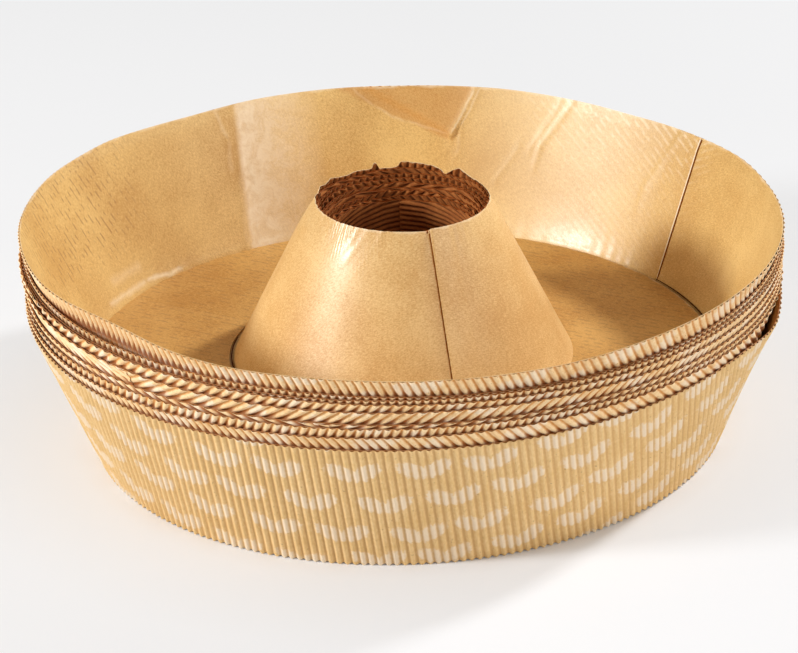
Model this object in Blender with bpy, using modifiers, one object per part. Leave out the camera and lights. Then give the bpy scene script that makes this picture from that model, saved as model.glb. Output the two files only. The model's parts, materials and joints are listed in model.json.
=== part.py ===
"""A nested stack of ring-shaped paper baking moulds.

Each mould is made of three glued pieces of single-face corrugated board: a flared wall with its
smooth liner inside and its flutes outside, a ring-shaped base, and a tapered centre tube.
The wall's lower margin is folded in under the base, and the tube's lower margin is folded out.
The moulds seat wall in wall, so the board and the slope of the wall set how far each one rises.
The lowest wall, the only one that shows from rim to foot, has its flutes. They are straight and
parallel in the flat sheet that the wall is rolled from, so round the wall they lean more and more
away from the slope, until the two ends of the sheet meet in a chevron at the seam.
Metres, +Z up, the origin at the middle of the face that the lowest mould stands on.
"""
import math

import bmesh
import bpy

# Driving dimensions
MOULD_COUNT = 9
RIM_RADIUS = 0.120
MOULD_HEIGHT = 0.0485
WALL_SLOPE_DEG = 20.6
WALL_MARGIN = 0.006
TUBE_TOP_RADIUS = 0.028
TUBE_HEIGHT = 0.0548
TUBE_SLOPE_DEG = 26.4
TUBE_MARGIN = 0.005
LINER_PAPER = 0.0002
FLUTE_DEPTH = 0.0004
FLUTE_PITCH = 0.00246
SHEET_CENTRE_DEG = -103.0

# Clearances
NEST_GAP = 0.0003
GLUE_GAP = 0.0003

# Facets
WALL_FACETS = 44
BASE_FACETS = 36
TUBE_FACETS = 30
FLUTE_FACET_DEG = 6.0
MERGE_DISTANCE = 0.00001
SAME_PLACE_DIGITS = 7

# Worked out from the driving dimensions
WALL_SLOPE = math.radians(WALL_SLOPE_DEG)
TUBE_SLOPE = math.radians(TUBE_SLOPE_DEG)
BOARD = LINER_PAPER + FLUTE_DEPTH
BASE_UNDERSIDE = BOARD + GLUE_GAP
BASE_TOP = BASE_UNDERSIDE + BOARD
STEP_FOR_SLOPES = (BOARD + NEST_GAP) / math.sin(min(WALL_SLOPE, TUBE_SLOPE))
NEST_STEP = max(STEP_FOR_SLOPES, BASE_TOP + NEST_GAP)

# The flat sheet that a wall is rolled from: part of a ring round the point where its slopes meet
SHEET_RIM = RIM_RADIUS / math.sin(WALL_SLOPE)
SHEET_FOOT = SHEET_RIM - MOULD_HEIGHT / math.cos(WALL_SLOPE)
SHEET_HALF_ANGLE = math.pi * math.sin(WALL_SLOPE)
APEX_HEIGHT = MOULD_HEIGHT - SHEET_RIM * math.cos(WALL_SLOPE)


def wall_outer_radius(height):
    """Radius of the wall's outer face at a height above the mould's underside."""
    return RIM_RADIUS - (MOULD_HEIGHT - height) * math.tan(WALL_SLOPE)


def wall_inner_radius(height):
    return wall_outer_radius(height) - BOARD / math.cos(WALL_SLOPE)


def tube_outer_radius(height):
    """Radius of the centre tube's outer face, which widens towards its foot."""
    return TUBE_TOP_RADIUS + (TUBE_HEIGHT - height) * math.tan(TUBE_SLOPE)


def tube_inner_radius(height):
    return tube_outer_radius(height) - BOARD / math.cos(TUBE_SLOPE)


def wall_lining():
    """Section of the folded-in margin and the inner face, from the foot's outer edge to the rim."""
    margin_edge = wall_outer_radius(0.0) - WALL_MARGIN
    return [
        (margin_edge, 0.0),
        (margin_edge, BOARD),
        (wall_inner_radius(BOARD), BOARD),
        (wall_inner_radius(MOULD_HEIGHT), MOULD_HEIGHT),
    ]


def wall_profile():
    """Closed section of the flared wall, down the outer side first."""
    return [(RIM_RADIUS, MOULD_HEIGHT), (wall_outer_radius(0.0), 0.0)] + wall_lining()


def base_profile():
    """Section of the flat ring, between the tube and the wall and on top of both margins."""
    outer_edge = wall_inner_radius(BASE_UNDERSIDE) - GLUE_GAP
    inner_edge = tube_outer_radius(BASE_UNDERSIDE) + GLUE_GAP
    return [
        (outer_edge, BASE_TOP),
        (outer_edge, BASE_UNDERSIDE),
        (inner_edge, BASE_UNDERSIDE),
        (inner_edge, BASE_TOP),
    ]


def tube_profile():
    """Section of the tapered tube and its folded-out margin, down the outer side first."""
    margin_edge = tube_outer_radius(0.0) + TUBE_MARGIN
    return [
        (TUBE_TOP_RADIUS, TUBE_HEIGHT),
        (tube_outer_radius(BOARD), BOARD),
        (margin_edge, BOARD),
        (margin_edge, 0.0),
        (tube_inner_radius(0.0), 0.0),
        (tube_inner_radius(TUBE_HEIGHT), TUBE_HEIGHT),
    ]


def start_empty_scene():
    for old in list(bpy.data.objects):
        bpy.data.objects.remove(old, do_unlink=True)


def make_collection(name):
    collection = bpy.data.collections.new(name)
    bpy.context.scene.collection.children.link(collection)
    return collection


def paper_material(name, colour, roughness):
    material = bpy.data.materials.new(name)
    material.use_nodes = True
    shader = material.node_tree.nodes["Principled BSDF"]
    shader.inputs["Base Color"].default_value = (*colour, 1.0)
    shader.inputs["Roughness"].default_value = roughness
    shader.inputs["Metallic"].default_value = 0.0
    return material


def turned_piece(name, profile, facets, collection):
    """Sweep a closed section once round the Z axis with a Screw modifier."""
    mesh = bpy.data.meshes.new(name)
    section = bmesh.new()
    corners = [section.verts.new((radius, 0.0, height)) for radius, height in profile]
    for corner, following in zip(corners, corners[1:] + corners[:1]):
        section.edges.new((corner, following))
    section.to_mesh(mesh)
    section.free()
    piece = bpy.data.objects.new(name, mesh)
    collection.objects.link(piece)
    screw = piece.modifiers.new("turn", "SCREW")
    screw.axis = "Z"
    screw.angle = math.tau
    screw.steps = facets
    screw.render_steps = facets
    screw.use_merge_vertices = True
    screw.merge_threshold = MERGE_DISTANCE
    screw.use_smooth_shade = True
    return piece


def rolled_point(across, along):
    """Where a point of the flat sheet lies on the rolled wall: flutes run along, pitched across."""
    slant = math.hypot(across, along)
    turn = math.radians(SHEET_CENTRE_DEG) + math.atan2(across, along) / math.sin(WALL_SLOPE)
    valley = 0.5 - 0.5 * math.cos(math.tau * across / FLUTE_PITCH)
    radius = slant * math.sin(WALL_SLOPE) - valley * FLUTE_DEPTH / math.cos(WALL_SLOPE)
    height = APEX_HEIGHT + slant * math.cos(WALL_SLOPE)
    return (radius * math.cos(turn), radius * math.sin(turn), height)


def flute_lines():
    """Distances of all crest and valley lines from the sheet's middle, and of its corners."""
    rim_corner = SHEET_RIM * math.sin(SHEET_HALF_ANGLE)
    foot_corner = SHEET_FOOT * math.sin(SHEET_HALF_ANGLE)
    spacing = FLUTE_PITCH / 2.0
    count = math.floor(rim_corner / spacing)
    lines = [number * spacing for number in range(-count, count + 1)]
    for corner in (rim_corner, foot_corner):
        lines = [line for line in lines if abs(abs(line) - corner) > spacing / 4.0]
        lines += [-corner, corner]
    return sorted(lines)


def points_along(across):
    """Shares and points of one line, from the foot or the sheet's end up to the rim."""
    rim_along = math.sqrt(SHEET_RIM**2 - across**2)
    end_along = abs(across) / math.tan(SHEET_HALF_ANGLE)
    low_along = math.sqrt(max(SHEET_FOOT**2 - across**2, end_along**2))
    swing = math.atan2(abs(across), low_along) - math.atan2(abs(across), rim_along)
    turn_deg = math.degrees(swing / math.sin(WALL_SLOPE))
    if rim_along - low_along < MERGE_DISTANCE:
        return [(0.0, rolled_point(across, rim_along))]
    steps = max(math.ceil(turn_deg / FLUTE_FACET_DEG), 1)
    shares = [step / steps for step in range(steps + 1)]
    return [(s, rolled_point(across, low_along + (rim_along - low_along) * s)) for s in shares]


def zip_rows(mesh, first, second):
    """Triangles between two rows of unlike counts. Each row lists its shares and its corners."""
    here, there = 0, 0
    while here + there < len(first) + len(second) - 2:
        ahead_here = first[here + 1][0] if here + 1 < len(first) else math.inf
        ahead_there = second[there + 1][0] if there + 1 < len(second) else math.inf
        if ahead_here <= ahead_there:
            mesh.faces.new((first[here][1], second[there][1], first[here + 1][1]))
            here += 1
        else:
            mesh.faces.new((first[here][1], second[there][1], second[there + 1][1]))
            there += 1


def in_the_liner(point):
    """Half way into the liner paper's thickness, at the turn and height of a point of the wall."""
    radius = wall_outer_radius(point.z) - (FLUTE_DEPTH + LINER_PAPER / 2.0) / math.cos(WALL_SLOPE)
    turn = math.atan2(point.y, point.x)
    return (radius * math.cos(turn), radius * math.sin(turn), point.z)


def shared_by_turn(ring):
    """Shares of a closed ring by its angle from the seam, its first corner repeated at the end."""
    seam = math.radians(SHEET_CENTRE_DEG) - math.pi
    turns = [(math.atan2(v.co.y, v.co.x) - seam) % math.tau / math.tau for v in ring]
    row = sorted(zip(turns, ring), key=lambda entry: entry[0])
    return row + [(1.0, row[0][1])]


def fluted_wall(name, collection):
    """The wall with its flutes: a fluted outer skin, zipped to the plain margin and inner face."""
    mesh = bmesh.new()
    corners = {}

    def corner_at(point):
        place = tuple(round(value, SAME_PLACE_DIGITS) + 0.0 for value in point)
        if place not in corners:
            corners[place] = mesh.verts.new(point)
        return corners[place]

    rows = []
    for across in flute_lines():
        rows.append([(share, corner_at(point)) for share, point in points_along(across)])
    for row, following in zip(rows, rows[1:]):
        zip_rows(mesh, row, following)

    rings = []
    for radius, height in wall_lining():
        turns = [math.tau * number / WALL_FACETS for number in range(WALL_FACETS)]
        points = [(radius * math.cos(turn), radius * math.sin(turn), height) for turn in turns]
        rings.append([mesh.verts.new(point) for point in points])
    for ring, following in zip(rings, rings[1:]):
        for number in range(WALL_FACETS):
            after = (number + 1) % WALL_FACETS
            mesh.faces.new((ring[number], ring[after], following[after], following[number]))

    rim_ring = {row[-1][1] for row in rows}
    foot_reach = SHEET_FOOT * math.sin(SHEET_HALF_ANGLE) + MERGE_DISTANCE
    foot_ring = {row[0][1] for across, row in zip(flute_lines(), rows) if abs(across) < foot_reach}
    for fluted_ring, plain_ring in ((foot_ring, rings[0]), (rim_ring, rings[-1])):
        fluted_row = shared_by_turn(fluted_ring)
        liner_ring = [mesh.verts.new(in_the_liner(v.co)) for share, v in fluted_row[:-1]]
        liner_row = shared_by_turn(liner_ring)
        zip_rows(mesh, fluted_row, liner_row)
        zip_rows(mesh, liner_row, shared_by_turn(plain_ring))
    bmesh.ops.recalc_face_normals(mesh, faces=mesh.faces)
    for face in mesh.faces:
        face.smooth = True
    data = bpy.data.meshes.new(name)
    mesh.to_mesh(data)
    mesh.free()
    piece = bpy.data.objects.new(name, data)
    collection.objects.link(piece)
    return piece


def make_mould(number, materials, collection):
    """One mould of three pieces on an empty that marks where it seats in the stack."""
    seat = bpy.data.objects.new(f"mould_{number}_seat", None)
    seat.location = (0.0, 0.0, (number - 1) * NEST_STEP)
    collection.objects.link(seat)
    if number == 1:
        wall = fluted_wall("mould_1_wall", collection)
    else:
        wall = turned_piece(f"mould_{number}_wall", wall_profile(), WALL_FACETS, collection)
    base = turned_piece(f"mould_{number}_base", base_profile(), BASE_FACETS, collection)
    tube = turned_piece(f"mould_{number}_tube", tube_profile(), TUBE_FACETS, collection)
    for piece, kind in ((wall, "wall"), (base, "base"), (tube, "tube")):
        piece.data.materials.append(materials[kind])
        piece.parent = seat


start_empty_scene()
parts = make_collection("paper ring mould stack")
kraft = {
    "wall": paper_material("fluted kraft board", (0.76, 0.54, 0.28), 0.75),
    "base": paper_material("base kraft board", (0.67, 0.44, 0.20), 0.60),
    "tube": paper_material("glazed kraft liner", (0.72, 0.46, 0.18), 0.45),
}
for mould_number in range(1, MOULD_COUNT + 1):
    make_mould(mould_number, kraft, parts)
bpy.context.view_layer.update()
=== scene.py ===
"""A nested stack of nine ring-shaped paper baking moulds on a pale studio floor.

Each mould is rolled and glued from single-face corrugated kraft paper: a flared wall with its
flutes outside, a flat ring base, and a tapered centre tube with its flutes inside the bore.
"""
import json
import math

import bmesh
import bpy
import numpy as np
from mathutils import Matrix, Vector

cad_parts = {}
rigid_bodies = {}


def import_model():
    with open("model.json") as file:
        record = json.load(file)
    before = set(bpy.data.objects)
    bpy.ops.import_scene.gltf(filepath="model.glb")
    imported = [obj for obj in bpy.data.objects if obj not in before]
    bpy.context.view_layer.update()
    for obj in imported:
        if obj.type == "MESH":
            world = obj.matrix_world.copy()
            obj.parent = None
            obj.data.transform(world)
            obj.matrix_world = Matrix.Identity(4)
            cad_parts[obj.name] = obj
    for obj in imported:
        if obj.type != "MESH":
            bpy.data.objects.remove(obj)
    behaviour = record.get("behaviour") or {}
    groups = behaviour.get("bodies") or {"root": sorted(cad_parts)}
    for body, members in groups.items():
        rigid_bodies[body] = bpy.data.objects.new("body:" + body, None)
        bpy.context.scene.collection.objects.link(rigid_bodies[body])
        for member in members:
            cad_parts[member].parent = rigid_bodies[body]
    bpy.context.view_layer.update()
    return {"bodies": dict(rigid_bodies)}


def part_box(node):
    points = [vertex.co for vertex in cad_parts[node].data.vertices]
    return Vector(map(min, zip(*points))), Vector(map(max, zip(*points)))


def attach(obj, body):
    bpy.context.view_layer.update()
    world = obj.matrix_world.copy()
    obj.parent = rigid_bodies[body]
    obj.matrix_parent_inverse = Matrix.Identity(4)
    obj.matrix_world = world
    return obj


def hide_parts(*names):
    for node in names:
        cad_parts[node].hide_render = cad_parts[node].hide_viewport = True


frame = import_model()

# Walls
# Each wall is one sheet of single-face board rolled to a cone: wavy fluting paper outside, glued
# to a smooth glazed liner inside, with a lap seam up one side and the foot folded under. Its
# flutes are parallel in the flat sheet, so they lean more and more towards the seam.
MM = 0.001
TOP = len(frame["bodies"])
MOULDS = range(1, TOP + 1)
BOARD = 0.78 * MM
LINER_PAPER = 0.12 * MM
FLUTING_PAPER = 0.10 * MM
FLUTE_DEPTH = BOARD - LINER_PAPER - FLUTING_PAPER
FLUTE_PITCH = 2.46 * MM
CREST_POWER = 1.9
# The flutes are crushed by this share of their depth where the seam is glued
LAP_CRUSHING = 0.6
# Each sheet is trimmed by a hair, so that its outermost flutes don't end in a point
END_TRIM = 0.9995
RIM_RADIUS = 120.0 * MM
WALL_HEIGHT = 48.5 * MM
WALL_SLOPE = math.radians(20.6)
WALL_MARGIN = 6.0 * MM
WALL_LAP = 8.0 * MM
LAP_LIFT = 0.05 * MM
LAP_SINK = 0.35 * MM
LAP_RAMP = 5.0 * MM
FOLD_SIZE = 0.1 * MM
FLUTING_MARGIN_ROWS = 2
BASE_SEAT = 0.85 * MM
# Turn of the middle of each flat sheet, opposite its seam, from the lowest mould up
WALL_MIDDLES_DEG = (-103.0, 175.0, -33.0, 75.0, 43.0, 16.0, -70.0, -90.0, -148.5)
# How far the rims of all but the top mould stand above or below an even stack, from the lowest
# up: pairs of height in mm and turn of the highest point in degrees, for 0, 1, 2 and 3 waves
RIM_WAVES = (
    ((-1.3, 0), (0.9, 150), (0.2, 4), (0.1, -142)),
    ((-0.3, 0), (0.3, -158), (0.2, 132), (0.1, 56)),
    ((-0.4, 0), (0.9, 176), (0.3, 90), (0.2, 12)),
    ((-1.0, 0), (0.8, 138), (0.3, 59), (0.2, -13)),
    ((0.6, 0), (2.0, 157), (0.5, 41), (0.2, -76)),
    ((1.0, 0), (2.7, 162), (0.5, 21), (0.3, -128)),
    ((-0.8, 0), (2.2, 155), (0.3, -145), (0.2, 158)),
    ((-1.6, 0), (2.9, 150), (0.6, 10), (0.5, -117)),
)
# The top rim, which has been handled most: pairs of turn in degrees and height in mm
TOP_RIM = (
    (-176, 3.9), (-160, 3.1), (-150, 2.9), (-140, 2.6), (-132, 2.2), (-125, 1.5), (-114, 0.4),
    (-105, 0.2), (-98, -0.2), (-91, -0.8), (-80, -1.3), (-66, -1.7), (-53, -1.0), (-44, -0.9),
    (-34, -0.8), (-20, -1.4), (0, -2.6), (10, -3.0), (20, -2.6), (32, -3.4), (48, -3.9),
    (58, -3.0), (72, -1.8), (90, -1.2), (100, -0.5), (114, 0.0), (126, -0.3), (134, 0.5),
    (144, 2.0), (152, 2.3), (161, 3.1), (172, 3.4),
)
# Folds that handling has left in the top wall: turn in degrees and height in mm of the lower and
# the upper end, depth inwards and half width in mm, and how pale the line is painted, for cracked
# glaze and as painted highlight; those with no depth are only painted pale lines
FOLDS = (
    (120.8, 1.0, 117.8, 50.0, 0.16, 1.6, 0.15),
    (121.2, 27.0, 120.4, 38.0, 0.15, 1.2, 0.15),
    (120.4, 38.0, 122.0, 50.0, 0.25, 1.2, 0.22),
    (80.8, 33.3, 88.0, 36.5, 0.0, 0.7, 0.20),
    (88.0, 36.5, 93.6, 41.6, 0.0, 0.7, 0.22),
    (93.6, 41.6, 97.6, 49.0, 0.0, 0.7, 0.18),
    (80.2, 33.3, 76.4, 48.0, 0.50, 0.7, 0.50),
    (78.5, 35.7, 75.4, 49.0, 0.25, 0.7, 0.35),
    (79.3, 26.0, 78.5, 33.4, 0.15, 0.9, 0.15),
    (63.8, 32.0, 58.8, 48.5, 0.26, 1.0, 0.24),
    (64.4, 26.0, 63.8, 33.0, 0.20, 0.9, 0.12),
    (65.6, 31.0, 61.2, 47.0, 0.16, 0.8, 0.26),
    (71.6, 19.0, 67.7, 31.0, 0.15, 0.9, 0.12),
    (40.9, 27.0, 35.7, 49.0, 0.35, 1.4, 0.10),
    (41.4, 21.0, 40.9, 28.0, 0.15, 1.2, 0.08),
    (137.0, 2.0, 147.0, 4.1, 0.0, 1.2, 0.65),
    (147.0, 4.1, 160.5, 4.3, 0.0, 1.4, 0.45),
    (146.5, 9.0, 157.0, 9.6, 0.0, 2.6, 0.22),
)
# The two of them that bound the flap at the back, along its lower edge and at its right
FLAP_FOLDS = (4, 6)
# Where the top wall's liner rounds into the base, and where it is pleated there: turn in degrees
# and share
FOOT_ROUNDING = (
    (-180, 0.1), (0, 0.0), (26, 0.0), (36, 0.6), (44, 1.0), (75, 1.0), (92, 0.5), (116, 0.7),
    (140, 0.8), (158, 0.9), (168, 0.3),
)
FOOT_PLEATS = (
    (-180, 0.1), (0, 0.0), (28, 0.0), (33, 1.0), (46, 1.0), (52, 0.40), (66, 0.30), (80, 0.2),
    (116, 0.4), (135, 0.8), (158, 0.8), (168, 0.1),
)
# Below its rim each nested wall draws in a little, so that the rims stand apart like ropes
NECK = 0.30 * MM
# The stack leans: the rim of the top mould stands this much higher at this turn than at its middle
LEAN_RISE = 3.07 * MM
LEAN_TURN = math.radians(-158.0)
# Step from one mould to the next in the stack
NEST_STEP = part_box("mould_2_wall")[0].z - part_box("mould_1_wall")[0].z


def linear(hex_colour):
    """An sRGB hex colour as linear red, green, blue and alpha."""
    parts = [int(hex_colour[place:place + 2], 16) / 255 for place in (1, 3, 5)]
    return [p / 12.92 if p <= 0.04045 else ((p + 0.055) / 1.055) ** 2.4 for p in parts] + [1.0]


def add_node(tree, kind, inputs=(), **settings):
    """Add a node. Its inputs come in order, or by identifier, as values, sockets or nodes."""
    node = tree.nodes.new(kind)
    for name, value in settings.items():
        setattr(node, name, value)
    if isinstance(inputs, dict):
        sockets = {socket.identifier: socket for socket in node.inputs}
        pairs = [(sockets[name], value) for name, value in inputs.items()]
    else:
        pairs = zip([socket for socket in node.inputs if socket.enabled], inputs)
    for socket, value in pairs:
        if isinstance(value, bpy.types.Node):
            value = next(output for output in value.outputs if output.enabled)
        if isinstance(value, bpy.types.NodeSocket):
            tree.links.new(value, socket)
        else:
            socket.default_value = value
    return node


# One skin of board, as steps of arithmetic on a flat grid. The grid's first direction runs across
# the flutes; its second runs along them up the outer side and back down the inner side.
ROLLING = (
    ("sine", "SINE", "Slope"),
    ("cosine", "COSINE", "Slope"),
    ("share across", "ADD", "grid across", 0.5),
    ("grid share", "ADD", "grid along", 0.5),
    ("double rows", "MULTIPLY", "Rows", 2.0),
    ("loose row", "MULTIPLY", "grid share", "double rows"),
    ("row", "ROUND", "loose row"),
    ("last row", "SUBTRACT", "double rows", 1.0),
    ("row back", "SUBTRACT", "last row", "row"),
    ("row out or back", "MINIMUM", "row", "row back"),
    ("row in use", "MAXIMUM", "row out or back", 0.0),
    ("rows up", "SUBTRACT", "Rows", 1.0),
    ("share along", "DIVIDE", "row in use", "rows up"),
    ("half row less", "SUBTRACT", "Rows", 0.5),
    ("past the top", "GREATER_THAN", "row", "half row less"),
    ("near the end", "SUBTRACT", "double rows", 0.5),
    ("before the end", "LESS_THAN", "row", "near the end"),
    ("inner side", "MULTIPLY", "past the top", "before the end"),
    # Even rows and columns round the cone
    ("lap end", "ADD", "Half angle", "Lap angle"),
    ("whole angle", "ADD", "Half angle", "lap end"),
    ("swung", "MULTIPLY", "share across", "whole angle"),
    ("even angle", "SUBTRACT", "swung", "Half angle"),
    ("before fold share", "DIVIDE", "share along", "Fold share"),
    ("before fold", "MINIMUM", "before fold share", 1.0),
    ("share past fold", "SUBTRACT", "share along", "Fold share"),
    ("share left", "SUBTRACT", 1.0, "Fold share"),
    ("after fold share", "DIVIDE", "share past fold", "share left"),
    ("evenly after fold", "MAXIMUM", "after fold share", 0.0),
    ("evenly left", "SUBTRACT", 1.0, "evenly after fold"),
    ("crowding", "MULTIPLY", "evenly left", "Rim crowding"),
    ("after fold", "MULTIPLY_ADD", "crowding", "evenly after fold", "evenly after fold"),
    ("reach to fold", "SUBTRACT", "Fold slant", "Near slant"),
    ("reach from fold", "SUBTRACT", "Far slant", "Fold slant"),
    ("slant to fold", "MULTIPLY_ADD", "before fold", "reach to fold", "Near slant"),
    ("even slant", "MULTIPLY_ADD", "after fold", "reach from fold", "slant to fold"),
    # Columns that follow the parallel flutes of the flat sheet
    ("left sine", "SINE", "Half angle"),
    ("right sine", "SINE", "lap end"),
    ("both sines", "ADD", "left sine", "right sine"),
    ("share of width", "MULTIPLY", "share across", "both sines"),
    ("width from middle", "SUBTRACT", "share of width", "left sine"),
    ("trimmed width", "MULTIPLY", "width from middle", END_TRIM),
    ("across", "MULTIPLY", "trimmed width", "Far slant"),
    ("on the right", "GREATER_THAN", "across", 0.0),
    ("end angle", "MULTIPLY_ADD", "on the right", "Lap angle", "Half angle"),
    ("end tangent", "TANGENT", "end angle"),
    ("distance across", "ABSOLUTE", "across"),
    ("end along", "DIVIDE", "distance across", "end tangent"),
    ("across squared", "MULTIPLY", "across", "across"),
    ("far squared", "MULTIPLY", "Far slant", "Far slant"),
    ("far left over", "SUBTRACT", "far squared", "across squared"),
    ("far along", "SQRT", "far left over"),
    ("near squared", "MULTIPLY", "Near slant", "Near slant"),
    ("near left over", "SUBTRACT", "near squared", "across squared"),
    ("end squared", "MULTIPLY", "end along", "end along"),
    ("start squared", "MAXIMUM", "near left over", "end squared"),
    ("start along", "SQRT", "start squared"),
    ("fold squared", "MULTIPLY", "Fold slant", "Fold slant"),
    ("fold left over", "SUBTRACT", "fold squared", "across squared"),
    ("bend squared", "MAXIMUM", "fold left over", "start squared"),
    ("bend along", "SQRT", "bend squared"),
    ("run to bend", "SUBTRACT", "bend along", "start along"),
    ("run from bend", "SUBTRACT", "far along", "bend along"),
    ("along to bend", "MULTIPLY_ADD", "before fold", "run to bend", "start along"),
    ("along", "MULTIPLY_ADD", "after fold", "run from bend", "along to bend"),
    ("along squared", "MULTIPLY", "along", "along"),
    ("slant squared", "ADD", "along squared", "across squared"),
    ("fluted slant", "SQRT", "slant squared"),
    ("fluted angle", "ARCTAN2", "across", "along"),
    ("slant change", "SUBTRACT", "fluted slant", "even slant"),
    ("slant", "MULTIPLY_ADD", "slant change", "Follow flutes", "even slant"),
    ("angle change", "SUBTRACT", "fluted angle", "even angle"),
    ("angle", "MULTIPLY_ADD", "angle change", "Follow flutes", "even angle"),
    ("angle sine", "SINE", "angle"),
    ("angle cosine", "COSINE", "angle"),
    ("sheet across", "MULTIPLY", "slant", "angle sine"),
    ("sheet along", "MULTIPLY", "slant", "angle cosine"),
    # The two ends of the sheet, one over the other at the seam
    ("ramp angle", "DIVIDE", "Lap ramp", "slant"),
    ("past seam", "SUBTRACT", "angle", "Half angle"),
    ("lift ramp", "DIVIDE", "past seam", "ramp angle"),
    ("lift share", "ADD", "lift ramp", 1.0),
    ("lift at least", "MAXIMUM", "lift share", 0.0),
    ("lift part", "MINIMUM", "lift at least", 1.0),
    ("before lap", "ADD", "angle", "Half angle"),
    ("into lap", "SUBTRACT", "Lap angle", "before lap"),
    ("sink ramp", "DIVIDE", "into lap", "ramp angle"),
    ("sink share", "ADD", "sink ramp", 1.0),
    ("sink at least", "MAXIMUM", "sink share", 0.0),
    ("sink part", "MINIMUM", "sink at least", 1.0),
    # The flutes, with round crests and narrow valleys, crushed where the seam is glued
    ("waves", "DIVIDE", "sheet across", "Flute pitch"),
    ("half turns", "MULTIPLY", "waves", math.pi),
    ("wave", "COSINE", "half turns"),
    ("crests", "ABSOLUTE", "wave"),
    ("round crests", "POWER", "crests", "Crest power"),
    ("below crest", "SUBTRACT", 1.0, "round crests"),
    ("crushing", "MULTIPLY", "sink part", -LAP_CRUSHING),
    ("uncrushed", "ADD", "crushing", 1.0),
    ("depth here", "MULTIPLY", "Flute depth", "uncrushed"),
    ("drop", "MULTIPLY", "below crest", "depth here"),
    ("crest level", "SUBTRACT", "Level", "drop"),
    ("lifted", "MULTIPLY_ADD", "lift part", "Lap lift", "crest level"),
    ("sinking", "MULTIPLY", "sink part", "Lap sink"),
    ("outer level", "SUBTRACT", "lifted", "sinking"),
    # The paper's thickness, which closes to an edge at both ends of the sheet
    ("last column", "SUBTRACT", "Columns", 1.0),
    ("column", "MULTIPLY", "share across", "last column"),
    ("column back", "SUBTRACT", "last column", "column"),
    ("to the end", "MINIMUM", "column", "column back"),
    ("end closing", "MINIMUM", "to the end", 1.0),
    ("paper side", "MULTIPLY", "inner side", "end closing"),
    ("paper depth", "MULTIPLY", "paper side", "Paper"),
    ("level", "SUBTRACT", "outer level", "paper depth"),
    # Round the fold, the cone turns into the flat margin
    ("slant past fold", "SUBTRACT", "slant", "Fold slant"),
    ("towards margin", "MULTIPLY", "slant past fold", "Rise"),
    ("on the cone", "MAXIMUM", "towards margin", 0.0),
    ("in the margin", "MINIMUM", "towards margin", 0.0),
    ("cone part", "MULTIPLY", "on the cone", "Rise"),
    ("cone slant", "ADD", "Fold slant", "cone part"),
    ("margin part", "MULTIPLY", "in the margin", "Rise"),
    ("cone radius", "MULTIPLY_ADD", "cone slant", "sine", "margin part"),
    ("cone rise", "MULTIPLY", "cone slant", "cosine"),
    ("cone height", "MULTIPLY_ADD", "cone rise", "Rise", "Apex height"),
    ("fold place", "DIVIDE", "towards margin", "Fold size"),
    ("fold share", "SUBTRACT", 0.5, "fold place"),
    ("fold at least", "MAXIMUM", "fold share", 0.0),
    ("folded", "MINIMUM", "fold at least", 1.0),
    ("unfolded", "SUBTRACT", 1.0, "folded"),
    ("cone lean", "MULTIPLY", "cosine", "Rise"),
    ("face out", "MULTIPLY", "cone lean", "unfolded"),
    ("face down", "MULTIPLY_ADD", "sine", "unfolded", "folded"),
    ("out squared", "MULTIPLY", "face out", "face out"),
    ("face length", "MULTIPLY_ADD", "face down", "face down", "out squared"),
    ("mitred level", "DIVIDE", "level", "face length"),
    ("radius", "MULTIPLY_ADD", "face out", "mitred level", "cone radius"),
    ("fall", "MULTIPLY", "face down", "mitred level"),
    ("height", "SUBTRACT", "cone height", "fall"),
    ("swing", "DIVIDE", "angle", "sine"),
    ("turn", "ADD", "swing", "Middle turn"),
    ("turn cosine", "COSINE", "turn"),
    ("turn sine", "SINE", "turn"),
    ("x", "MULTIPLY", "radius", "turn cosine"),
    ("y", "MULTIPLY", "radius", "turn sine"),
)
ROLLING_INPUTS = (
    "Slope", "Rise", "Apex height", "Near slant", "Far slant", "Fold slant", "Fold size",
    "Fold share", "Rim crowding", "Half angle", "Lap angle", "Lap ramp", "Lap lift", "Lap sink",
    "Middle turn", "Follow flutes", "Flute pitch", "Flute depth", "Crest power", "Level", "Paper",
)


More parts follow.
